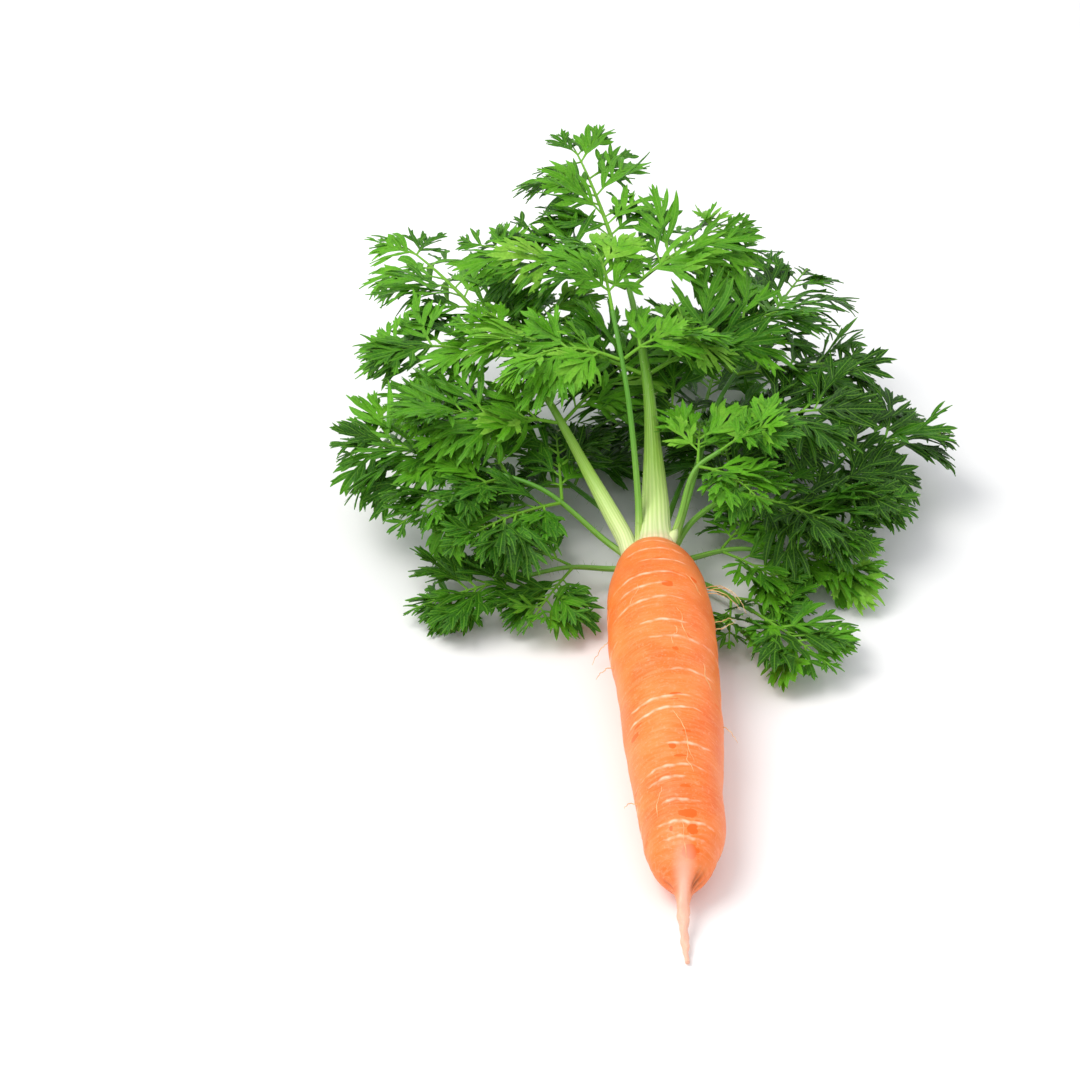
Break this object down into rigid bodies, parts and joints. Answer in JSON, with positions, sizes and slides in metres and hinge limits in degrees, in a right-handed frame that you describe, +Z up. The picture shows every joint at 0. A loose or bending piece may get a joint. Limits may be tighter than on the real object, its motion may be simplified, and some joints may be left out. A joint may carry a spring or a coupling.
{
  "type": "carrot with leafy top",
  "caption": "Fresh carrot with its green top, lying on its side: a tapering orange root with a thin tail, and feathery lobed leaves on stalks that fan out from its crown.",
  "frame": {"origin": "on the surface that the carrot lies on, under the middle of the whole carrot's box", "axes": "+Z up from that surface; the root points along -Y and the leaves fan out over +Y; +X is to the right as seen from the root's tip"},
  "size_m": [0.2202, 0.3556, 0.0937],
  "materials": {
    "root_skin": "satin",
    "pale_stalk": "satin",
    "green_stalk": "satin",
    "leaf_blade": "matte"
  },
  "bodies": {
    "root": {"back_leaflet_end": "leaf_blade", "back_leaflet_left_1": "leaf_blade", "back_leaflet_right_1": "leaf_blade", "back_left_leaflet_end": "leaf_blade", "back_left_leaflet_left_1": "leaf_blade", "back_left_leaflet_right_1": "leaf_blade", "back_left_stalk": "green_stalk", "back_stalk": "green_stalk", "left_leaflet_end": "leaf_blade", "left_leaflet_left_1": "leaf_blade", "left_leaflet_left_2": "leaf_blade", "left_leaflet_right_1": "leaf_blade", "left_leaflet_right_2": "leaf_blade", "left_low_leaflet_end": "leaf_blade", "left_low_leaflet_left_1": "leaf_blade", "left_low_leaflet_right_1": "leaf_blade", "left_low_stalk": "green_stalk", "left_stalk": "green_stalk", "main_leaflet_end": "leaf_blade", "main_leaflet_left_1": "leaf_blade", "main_leaflet_left_2": "leaf_blade", "main_leaflet_right_1": "leaf_blade", "main_leaflet_right_2": "leaf_blade", "main_stalk": "pale_stalk", "right_far_leaflet_end": "leaf_blade", "right_far_leaflet_left_1": "leaf_blade", "right_far_leaflet_left_2": "leaf_blade", "right_far_leaflet_right_1": "leaf_blade", "right_far_leaflet_right_2": "leaf_blade", "right_far_stalk": "green_stalk", "right_front_leaflet_end": "leaf_blade", "right_front_leaflet_left_1": "leaf_blade", "right_front_leaflet_right_1": "leaf_blade", "right_front_stalk": "green_stalk", "right_high_leaflet_end": "leaf_blade", "right_high_leaflet_left_1": "leaf_blade", "right_high_leaflet_left_2": "leaf_blade", "right_high_leaflet_right_1": "leaf_blade", "right_high_leaflet_right_2": "leaf_blade", "right_high_stalk": "green_stalk", "right_low_leaflet_end": "leaf_blade", "right_low_leaflet_left_1": "leaf_blade", "right_low_leaflet_right_1": "leaf_blade", "right_low_stalk": "green_stalk", "right_near_leaflet_end": "leaf_blade", "right_near_leaflet_left_1": "leaf_blade", "right_near_leaflet_right_1": "leaf_blade", "right_near_stalk": "green_stalk", "second_leaflet_end": "leaf_blade", "second_leaflet_left_1": "leaf_blade", "second_leaflet_left_2": "leaf_blade", "second_leaflet_right_1": "leaf_blade", "second_leaflet_right_2": "leaf_blade", "second_stalk": "pale_stalk", "tall_leaflet_end": "leaf_blade", "tall_leaflet_left_1": "leaf_blade", "tall_leaflet_right_1": "leaf_blade", "tall_stalk": "green_stalk", "taproot": "root_skin"}
  },
  "joints": []
}
